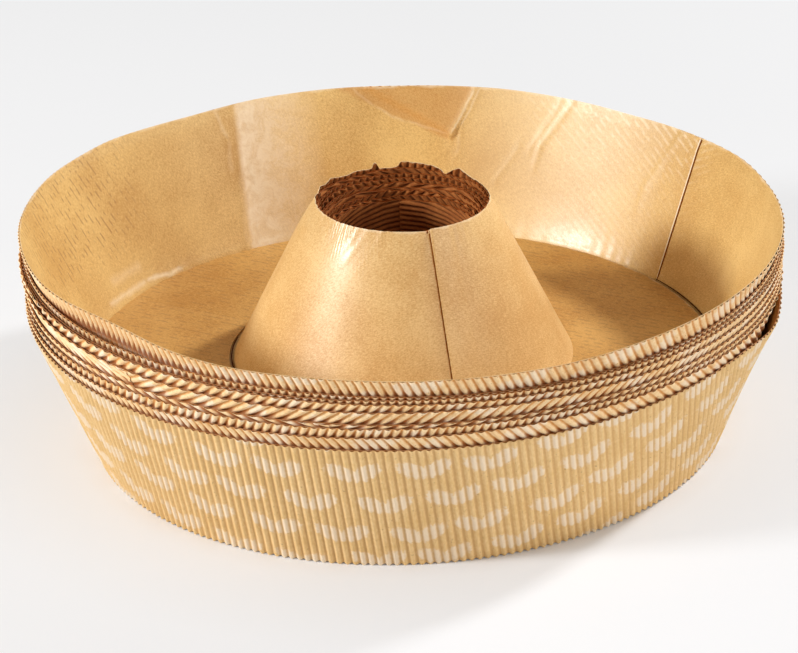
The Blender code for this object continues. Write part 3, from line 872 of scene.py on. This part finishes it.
for mould in MOULDS:
    columns_per_flute = {1: 8, TOP: 6}.get(mould, 5)
    fluting_rows = 24 if mould == TOP else 16
    liner_rows, margin_rows, crowding = (40, 3, 0.0) if mould == TOP else (16, 2, 0.55)
    wall_sizes["Middle turn"] = math.radians(WALL_MIDDLES_DEG[mould - 1])
    fluted = wall_sizes | {
        "Columns": round(wall_width / FLUTE_PITCH * columns_per_flute), "Rows": fluting_rows,
        "Fold share": FLUTING_MARGIN_ROWS / (fluting_rows - 1), "Rim crowding": 0.55,
        "Follow flutes": 1.0, "Level": 0.0, "Flute depth": FLUTE_DEPTH, "Paper": FLUTING_PAPER,
        "Paper finish": printed_fluting if mould == 1 else nested_fluting_lit_and_shaded,
    }
    lined = wall_sizes | {
        "Columns": 920 if mould == TOP else 480, "Rows": liner_rows,
        "Rim crowding": crowding, "Fold share": margin_rows / (liner_rows - 1),
        "Follow flutes": 0.0, "Level": LINER_PAPER - BOARD, "Flute depth": 0.0,
        "Paper": LINER_PAPER,
        "Paper finish": wall_lining if mould == TOP else nested_wall_lining,
    }
    for piece, sizes in (("fluting", fluted), ("liner", lined)):
        name = f"mould_{mould}_wall_{piece}"
        mesh = rolled_mesh(name, roller, sizes)
        if piece == "liner" and mould < TOP:
            stain_and_shade_rim(mesh, WALL_HEIGHT, depth=2.5 * MM, strength=0.70)
        bend(mesh, handled_shape if (mould, piece) == (TOP, "liner") else wall_shape, mould)
        if piece == "fluting" and mould > 1:
            mark_rim_below(mesh, mould)
        finish_piece(name, mesh, mould, f"mould_{mould}_wall")

# Down the seam of the top wall runs the pale cut edge of the upper end of its sheet, painted paler
# as a highlight, and beside it the dried glue that was squeezed out of the lap, whose dark line
# also paints the shadow of the gap at the lap.
GLUE_WIDTH = 0.38 * MM
GLUE_DEPTH = 0.30 * MM
EDGE_WIDTH = 0.42 * MM
EDGE_DEPTH = LAP_SINK + LAP_LIFT + 0.06 * MM
SEAM_STEPS = 30


def dried_paste(name, thin_colour, thick_colour):
    """A dull, lumpy finish of two colours: starch paste dried to a hard brown skin, with painted
    shadow in the gaps, and the pale cut edge with its painted highlight.
    """
    material = bpy.data.materials.new(name)
    material.use_nodes = True
    tree = material.node_tree
    shader = tree.nodes["Principled BSDF"]
    solid = add_node(tree, "ShaderNodeTexCoord").outputs["Object"]
    lumps = add_node(tree, "ShaderNodeTexNoise", {"Vector": solid, "Scale": 420.0, "Detail": 3.0})
    colour = add_node(tree, "ShaderNodeMix", {"Factor_Float": lumps,
                                              "A_Color": linear(thick_colour),
                                              "B_Color": linear(thin_colour)}, data_type="RGBA")
    tree.links.new(colour.outputs[2], shader.inputs["Base Color"])
    shader.inputs["Roughness"].default_value = 0.8
    shader.inputs["Specular IOR Level"].default_value = 0.05
    return material


def closed_strip(name, rings, material):
    """A closed strip through rings of four corners, each given as radius, turn and height."""
    strip = bmesh.new()
    corners = [[strip.verts.new((radius * math.cos(turn), radius * math.sin(turn), height))
                for radius, turn, height in ring] for ring in rings]
    for low, high in zip(corners, corners[1:]):
        for one in range(4):
            other = (one + 1) % 4
            strip.faces.new((low[one], low[other], high[other], high[one]))
    strip.faces.new(corners[0])
    strip.faces.new(corners[-1])
    bmesh.ops.recalc_face_normals(strip, faces=strip.faces)
    mesh = bpy.data.meshes.new(name)
    strip.to_mesh(mesh)
    strip.free()
    mesh.materials.append(material)
    return mesh


def seam_strip(name, ends, turn, side, width, depth, material, seed):
    """A thin strip down a seam, between two places given as radius and height."""
    draw = np.random.default_rng(seed)
    rings = []
    for step in range(SEAM_STEPS + 1):
        radius, height = (low + (high - low) * step / SEAM_STEPS for low, high in zip(*ends))
        reach = width * draw.uniform(0.75, 1.15)
        rings.append([(radius - inwards, turn + side * sideways / (radius - inwards), height)
                      for inwards, sideways in ((0.0, 0.0), (depth, 0.0), (depth, reach),
                                                (0.0, reach))])
    return closed_strip(name, rings, material)


brown_paste_and_shadow = dried_paste("dried brown paste with painted shadow", "#94581F", "#683712")
cut_edge_highlight = dried_paste("cut paper edge with painted highlight", "#FFF6E2", "#F2DCB4")
top_seam = math.radians(WALL_MIDDLES_DEG[-1]) + math.pi
seam_ends = [(RIM_RADIUS - (WALL_HEIGHT - height) * math.tan(WALL_SLOPE)
              - (BOARD - LAP_LIFT) / math.cos(WALL_SLOPE), height)
             for height in (BOARD + BASE_SEAT, WALL_HEIGHT - 0.2 * MM)]
for piece, side, width, depth, material in (
        ("glue_line", -1.0, GLUE_WIDTH, GLUE_DEPTH, brown_paste_and_shadow),
        ("cut_edge_highlight", 1.0, EDGE_WIDTH, EDGE_DEPTH, cut_edge_highlight)):
    name = f"mould_{TOP}_wall_{piece}"
    mesh = seam_strip(name, seam_ends, top_seam, side, width, depth, material, 500)
    bend(mesh, wall_shape, TOP)
    finish_piece(name, mesh, TOP, f"mould_{TOP}_wall")

# Bases
# Each base is a flat ring of the same board, liner up and flutes down, glued on the margins of
# the wall and the tube. Its flutes run straight across, and show through the liner as streaks.
BASE_OUTER = 100.9 * MM
BASE_INNER = 55.1 * MM
BASE_SHIFT = Vector((-0.80 * MM, -0.15 * MM, 0.0))
BASE_TOP_MIDDLE_DEG = -28.0
BASE_TURN_STEP_DEG = 40.0
# The fluting is made in two halves, each swung this far to both sides of its middle flute
BASE_HALF_SWING = math.radians(89.5)
FOOT_STEPS = 80
PASTE_HEIGHT = 0.2 * MM
base_lining = glazed_liner("kraft base liner", "#E0B064", "#BF873C", (0.62, 0.50), 0.20,
                           BASE_OUTER / MM, show_through=0.45)
plain_fluting = kraft_fluting("plain kraft fluting", "#DDB67E", "#D0A468", "#B58650")
base_sizes = {
    "Slope": math.pi / 2, "Rise": 1.0, "Apex height": BASE_SEAT,
    "Near slant": BASE_INNER, "Far slant": BASE_OUTER, "Fold slant": BASE_INNER,
    "Fold size": MM, "Fold share": 0.0, "Rim crowding": 0.0,
    "Lap angle": 0.0, "Lap ramp": LAP_RAMP, "Lap lift": 0.0, "Lap sink": 0.0,
    "Flute pitch": FLUTE_PITCH, "Crest power": CREST_POWER,
}
for mould in MOULDS:
    middle = math.radians(BASE_TOP_MIDDLE_DEG + BASE_TURN_STEP_DEG * (TOP - mould))
    lined = base_sizes | {
        "Half angle": math.pi, "Middle turn": middle, "Columns": 181, "Rows": 8,
        "Follow flutes": 0.0, "Level": LINER_PAPER - BOARD, "Flute depth": 0.0,
        "Paper": LINER_PAPER, "Paper finish": base_lining,
    }
    fluted = base_sizes | {
        "Half angle": BASE_HALF_SWING, "Middle turn": middle, "Rows": 2,
        "Follow flutes": 1.0, "Level": 0.0, "Flute depth": FLUTE_DEPTH,
        "Columns": round(2.0 * BASE_OUTER / FLUTE_PITCH * 6), "Paper": FLUTING_PAPER,
        "Paper finish": plain_fluting,
    }
    for piece, sizes in (("liner", lined), ("fluting_a", fluted),
                         ("fluting_b", fluted | {"Middle turn": middle + math.pi})):
        name = f"mould_{mould}_base_{piece}"
        mesh = rolled_mesh(name, roller, sizes)
        mesh.transform(Matrix.Translation(BASE_SHIFT))
        finish_piece(name, mesh, mould, f"mould_{mould}_base")


def foot_strip(name, radius, height, ends, width, material, seed):
    """A thin strip of paste and painted shadow round a foot, between two turns in degrees, thin at
    both.
    """
    draw = np.random.default_rng(seed)
    rings = []
    for step in range(FOOT_STEPS + 1):
        turn = math.radians(ends[0] + (ends[1] - ends[0]) * step / FOOT_STEPS)
        swell = 0.1 + math.sin(math.pi * step / FOOT_STEPS) ** 0.5
        reach = width * swell * draw.uniform(0.7, 1.1)
        rings.append([(radius + outwards * reach, turn, height + upwards)
                      for outwards, upwards in ((-0.5, 0.0), (0.5, 0.0), (0.5, PASTE_HEIGHT),
                                                (-0.5, PASTE_HEIGHT))])
    return closed_strip(name, rings, material)


# Dark paste in the gap between the top base and its wall on the right, and beside the tube, paints
# the shadow in that gap
gap_paste_and_shadow = dried_paste("dark paste with painted shadow in the gap", "#63300F", "#3A1A08")
paste_level = BOARD + BASE_SEAT - 0.05 * MM
for piece, radius, ends, width in (
        ("wall_gap", 101.15 * MM, (-14.0, 34.0), 0.38 * MM),
        ("tube_gap", 55.2 * MM, (166.0, 205.0), 0.42 * MM)):
    name = f"mould_{TOP}_base_{piece}_paste"
    mesh = foot_strip(name, radius, paste_level, ends, width, gap_paste_and_shadow, 520)
    finish_piece(name, mesh, TOP, f"mould_{TOP}_base")

# Centre tubes
# Each tube is rolled like a wall but to a steeper cone, liner out and flutes in the bore, with
# its foot folded out under the base. The lower tubes reach up into the bores above them.
TUBE_TOP_RADIUS = 28.0 * MM
TUBE_HEIGHT = 54.8 * MM
TUBE_SLOPE = math.radians(26.4)
TUBE_MARGIN = 5.0 * MM
TUBE_LAP = 6.0 * MM
TUBE_REACH = 1.26 * MM
TOP_TUBE_LAP_SINK = 0.55 * MM
TUBE_GLUE_WIDTH = 0.32 * MM
TUBE_GLUE_DEPTH = 0.35 * MM
MOST_RISE = 1.3 * MM
TUBE_MIDDLES_DEG = (-95.0, 10.0, 170.0, -60.0, -140.0, 40.0, 100.0, -20.0, 107.0)
# The top tube was torn open at the back: turn in degrees and height in mm of its edge there, and
# how strongly the edge is wrinkled round the tube
TORN_EDGE = (
    (-180, -0.2), (-150, 0.0), (-120, 0.0), (-90, -0.2), (-77, -0.5), (-73.3, -0.8), (-72.7, 0.1),
    (-60, 0.1), (-40, 0.0), (-20, -0.2), (0, 0.0), (15, -0.3), (36, -0.2), (44, 0.6), (48, 1.2),
    (52, 0.2), (58, -1.8), (61, -0.6), (66, 0.2), (75, 0.6), (83, 0.9), (89, 1.1), (91, -0.4),
    (95, -0.8), (104, -0.7), (105.2, 1.3), (107.5, 1.2), (108.5, -0.6), (120, -0.3),
    (128, -0.8), (135, -0.5), (143, 0.3), (150, -0.5), (158, 0.2), (166, -0.7), (174, 0.1),
)
EDGE_WRINKLES = (
    (-180, 0.9), (-125, 1.0), (-105, 0.8), (-90, 0.3), (-60, 0.3), (-40, 1.0), (0, 0.6), (90, 1.2),
)


def tube_shape(mould, turn, radius, height):
    """Tear and wrinkle the edges of the tubes, and push the whole nest in a little."""
    near_top = np.clip((height / TUBE_HEIGHT - 0.8) / 0.2, 0.0, 1.0) ** 2
    if mould == TOP:
        rise = ring_table(turn, TORN_EDGE, 2) * MM
        wrinkles = ripple(turn, 320, 30, 70) * ring_table(turn, EDGE_WRINKLES)
        radius = radius + near_top * (0.12 * MM * wrinkles + 0.35 * rise)
    else:
        rise = 0.45 * MM * ripple(turn, 300 + mould, 2, 9)
        rise += 0.18 * MM * ripple(turn, 310 + mould, 12, 40)
    # The nested tubes have been pushed in together at the left, near the top tube's edge
    below = np.maximum(TUBE_HEIGHT + NEST_STEP * (TOP - mould) - height, 0.0) / MM
    pushed = np.exp(-(turn_from(turn, -172.0) / 0.75) ** 2)
    radius = radius - 1.0 * MM * pushed * np.exp(-(below / 6.0) ** 2)
    return radius, height + np.minimum(rise, MOST_RISE) * near_top


def crinkled_shape(mould, turn, radius, height):
    """Crinkle the top tube's liner at the left front, outwards only, clear of the flutes."""
    below = np.clip((TUBE_HEIGHT - height) / MM, 0.0, 60.0)
    crinkles = ripple(turn + 0.02 * below, 330, 45, 120) * np.exp(-(below / 11.0) ** 2)
    crinkles *= np.exp(-(turn_from(turn, -128.0) / 0.60) ** 2)
    radius = radius + 0.42 * MM * np.maximum(crinkles, 0.0)
    return tube_shape(mould, turn, radius, height)


tube_half_angle = math.pi * math.sin(TUBE_SLOPE)
tube_apex = TUBE_HEIGHT + TUBE_TOP_RADIUS / math.tan(TUBE_SLOPE)
tube_fold_slant = (tube_apex - BOARD) / math.cos(TUBE_SLOPE)
tube_far_slant = tube_fold_slant + TUBE_MARGIN
tube_rim_slant = TUBE_TOP_RADIUS / math.sin(TUBE_SLOPE)
tube_width = 2.0 * tube_far_slant * math.sin(tube_half_angle)
# The bores' fluting is given a dark brown colour that paints the shade deep inside the bores
bore_fluting_shaded = kraft_fluting("kraft fluting with painted bore shade", "#C47B40", "#A86231", "#723F1C")
tube_lining = glazed_liner("glazed kraft tube liner", "#E8C68B", "#CA9C5C", (0.54, 0.42), 0.24,
                           tube_rim_slant / MM, crinkled=True)
nested_lining = glazed_liner("glazed kraft liner of the nested tubes", "#E8C487", "#CA9A58",
                             (0.62, 0.50), 0.08, tube_rim_slant / MM, stained_and_shaded=True)
for mould in MOULDS:
    reach = TUBE_REACH * (TOP - mould)
    top_radius = TUBE_TOP_RADIUS - reach * math.tan(TUBE_SLOPE)
    columns_per_flute = 8 if mould in (1, TOP) else 6
    fluting_rows = 24 if mould == TOP else 16
    liner_rows, margin_rows = (40, 3) if mould == TOP else (20, 2)
    tube_sizes = {
        "Slope": TUBE_SLOPE, "Rise": -1.0, "Apex height": tube_apex,
        "Near slant": top_radius / math.sin(TUBE_SLOPE), "Far slant": tube_far_slant,
        "Fold slant": tube_fold_slant, "Fold size": FOLD_SIZE,
        "Half angle": tube_half_angle, "Lap angle": TUBE_LAP / tube_far_slant,
        "Lap ramp": LAP_RAMP, "Lap lift": LAP_LIFT,
        "Lap sink": TOP_TUBE_LAP_SINK if mould == TOP else LAP_SINK,
        "Middle turn": math.radians(TUBE_MIDDLES_DEG[mould - 1]),
        "Flute pitch": FLUTE_PITCH, "Crest power": CREST_POWER, "Rim crowding": 0.0,
    }
    fluted = tube_sizes | {
        "Columns": round(tube_width / FLUTE_PITCH * columns_per_flute), "Rows": fluting_rows,
        "Fold share": (fluting_rows - 1 - FLUTING_MARGIN_ROWS) / (fluting_rows - 1),
        "Follow flutes": 1.0, "Level": BOARD, "Flute depth": FLUTE_DEPTH,
        "Paper": FLUTING_PAPER, "Paper finish": bore_fluting_shaded,
    }
    lined = tube_sizes | {
        "Columns": 760 if mould == TOP else 240, "Rows": liner_rows,
        "Fold share": (liner_rows - 1 - margin_rows) / (liner_rows - 1), "Follow flutes": 0.0,
        "Level": LINER_PAPER, "Flute depth": 0.0, "Paper": LINER_PAPER,
        "Paper finish": tube_lining if mould == TOP else nested_lining,
    }
    for piece, sizes in (("fluting", fluted), ("liner", lined)):
        name = f"mould_{mould}_tube_{piece}"
        mesh = rolled_mesh(name, roller, sizes)
        if piece == "liner" and mould < TOP:
            stain_and_shade_rim(mesh, TUBE_HEIGHT + reach, depth=3.0 * MM, strength=1.0)
        bend(mesh, crinkled_shape if (mould, piece) == (TOP, "liner") else tube_shape, mould)
        finish_piece(name, mesh, mould, f"mould_{mould}_tube")

# The top tube's seam faces the front, with a dark line of dried glue along its upper sheet that
# also paints the shadow of the seam's gap
tube_seam = math.radians(TUBE_MIDDLES_DEG[-1]) + math.pi
tube_ends = [((tube_apex - height) * math.tan(TUBE_SLOPE) + 0.30 * MM / math.cos(TUBE_SLOPE),
              height) for height in (BOARD + BASE_SEAT, TUBE_HEIGHT - 0.9 * MM)]
name = f"mould_{TOP}_tube_glue_line"
mesh = seam_strip(name, tube_ends, tube_seam, -1.0, TUBE_GLUE_WIDTH, TUBE_GLUE_DEPTH,
                  brown_paste_and_shadow, 510)
bend(mesh, tube_shape, TOP)
finish_piece(name, mesh, TOP, f"mould_{TOP}_tube")

# Studio
# A plain pale floor, two soft lamps at the back, a softbox and a weak fill in front, and a camera
# at the photograph's height, about 25 degrees above the floor and turned a little on its axis.
LAMP_DISTANCE = 1.5
LAMP_TARGET = Vector((0.0, 0.0, 30.0 * MM))
FLOOR_HALF_SIZE = 6.0
CAMERA_ELEVATION = math.radians(24.9)
CAMERA_ROLL = math.radians(-2.49)
CAMERA_DISTANCE = 1.0
CAMERA_TARGET = Vector((-2.24 * MM, 0.0, 30.5 * MM))

floor_paint = bpy.data.materials.new("pale studio floor")
floor_paint.use_nodes = True
floor_tree = floor_paint.node_tree
floor_place = add_node(floor_tree, "ShaderNodeTexCoord").outputs["Object"]
floor_axes = add_node(floor_tree, "ShaderNodeSeparateXYZ", [floor_place])
dust = add_node(floor_tree, "ShaderNodeTexNoise", {"Vector": floor_place, "Scale": 3.0})
# Painted shade: the floor's colour darkens to the right and towards the back, with a little dust
floor_shade_gradient = add_node(floor_tree, "ShaderNodeMath",
                       [floor_axes.outputs["Y"], 0.4, floor_axes.outputs["X"]],
                       operation="MULTIPLY_ADD")
floor_dust_and_shade = add_node(floor_tree, "ShaderNodeMath", [dust, 0.05, floor_shade_gradient],
                       operation="MULTIPLY_ADD")
floor_shade_share = add_node(floor_tree, "ShaderNodeMapRange", [floor_dust_and_shade, -0.16, 0.20, 0.0, 1.0])
floor_colour = add_node(floor_tree, "ShaderNodeMix",
                        {"Factor_Float": floor_shade_share, "A_Color": linear("#E9EAED"),
                         "B_Color": linear("#D8D9DC")}, data_type="RGBA")
floor_sheen = floor_tree.nodes["Principled BSDF"]
floor_tree.links.new(floor_colour.outputs[2], floor_sheen.inputs["Base Color"])
floor_sheen.inputs["Roughness"].default_value = 0.9
floor_sheen.inputs["Specular IOR Level"].default_value = 0.0
# The photograph's floor is lit up to near white, less so in the shadow next to the stack; its glow
# is painted dimmer towards the back
floor_glow_falloff = add_node(floor_tree, "ShaderNodeMapRange",
                      [floor_axes.outputs["Y"], -0.15, 0.25, 0.0, 1.0])
floor_white = add_node(floor_tree, "ShaderNodeMix",
                       {"Factor_Float": floor_glow_falloff, "A_Color": linear("#FAF9F9"),
                        "B_Color": linear("#EFEFEF")}, data_type="RGBA")
floor_seen = add_node(floor_tree, "ShaderNodeLightPath").outputs["Is Camera Ray"]
floor_spot = add_node(floor_tree, "ShaderNodeVectorMath", [floor_place], operation="LENGTH")
floor_near = add_node(floor_tree, "ShaderNodeMapRange",
                      [floor_spot.outputs["Value"], 0.102, 0.110, 0.06, 0.32])
floor_lift = add_node(floor_tree, "ShaderNodeMapRange",
                      [floor_spot.outputs["Value"], 0.110, 0.150, floor_near, 0.58])
floor_share = add_node(floor_tree, "ShaderNodeMath", [floor_seen, floor_lift],
                       operation="MULTIPLY")
floor_glow = add_node(floor_tree, "ShaderNodeEmission", {"Color": floor_white.outputs[2],
                                                         "Strength": 1.0})
floor_mix = add_node(floor_tree, "ShaderNodeMixShader", [floor_share, floor_sheen, floor_glow])
floor_tree.links.new(floor_mix.outputs[0],
                     floor_tree.nodes["Material Output"].inputs["Surface"])
floor_mesh = bpy.data.meshes.new("studio_floor")
floor_shape = bmesh.new()
bmesh.ops.create_grid(floor_shape, x_segments=2, y_segments=2, size=FLOOR_HALF_SIZE)
floor_shape.to_mesh(floor_mesh)
floor_shape.free()
floor_mesh.materials.append(floor_paint)
floor = bpy.data.objects.new("studio_floor", floor_mesh)
bpy.context.scene.collection.objects.link(floor)

world = bpy.context.scene.world or bpy.data.worlds.new("studio")
bpy.context.scene.world = world
world.use_nodes = True
world.node_tree.nodes.clear()
seen = add_node(world.node_tree, "ShaderNodeLightPath").outputs["Is Camera Ray"]
room = add_node(world.node_tree, "ShaderNodeBackground",
                {"Color": linear("#FAF1E4"), "Strength": 0.33})
backdrop = add_node(world.node_tree, "ShaderNodeBackground",
                    {"Color": linear("#F2F2F2"), "Strength": 1.0})
sky = add_node(world.node_tree, "ShaderNodeMixShader", [seen, room, backdrop])
add_node(world.node_tree, "ShaderNodeOutputWorld", {"Surface": sky})


def soft_lamp(name, turn_deg, height_deg, size, power, colour):
    """A round area lamp aimed at the stack, from a turn round it and a height in degrees."""
    turn, height = math.radians(turn_deg), math.radians(height_deg)
    lamp = bpy.data.lights.new(name, "AREA")
    lamp.shape = "DISK"
    lamp.size = size
    lamp.energy = power
    lamp.color = linear(colour)[:3]
    holder = bpy.data.objects.new(name, lamp)
    holder.location = (LAMP_DISTANCE * math.cos(height) * math.cos(turn),
                       LAMP_DISTANCE * math.cos(height) * math.sin(turn),
                       LAMP_DISTANCE * math.sin(height))
    direction = LAMP_TARGET - holder.location
    holder.rotation_euler = direction.to_track_quat("-Z", "Y").to_euler()
    bpy.context.scene.collection.objects.link(holder)


soft_lamp("left_lamp", 199.5, 28.0, 0.26, 18.0, "#FDFEFF")
soft_lamp("right_lamp", 27.0, 39.5, 0.18, 17.0, "#FDFEFF")
soft_lamp("front_softbox", -38.0, 18.0, 1.2, 8.8, "#FEFEFF")
soft_lamp("left_fill", -155.0, 33.0, 0.8, 1.8, "#FEFEFF")

camera_data = bpy.data.cameras.new("camera")
camera_data.sensor_width = 36.0
camera_data.lens = 140.8
camera_data.clip_end = 20.0
camera = bpy.data.objects.new("camera", camera_data)
offset = Vector((0.0, -math.cos(CAMERA_ELEVATION), math.sin(CAMERA_ELEVATION)))
facing = (-offset).to_track_quat("-Z", "Y").to_matrix()
camera.matrix_world = (Matrix.Translation(CAMERA_TARGET + offset * CAMERA_DISTANCE)
                       @ facing.to_4x4() @ Matrix.Rotation(CAMERA_ROLL, 4, "Z"))
bpy.context.scene.collection.objects.link(camera)
bpy.context.scene.camera = camera
bpy.context.scene.view_settings.view_transform = "Standard"
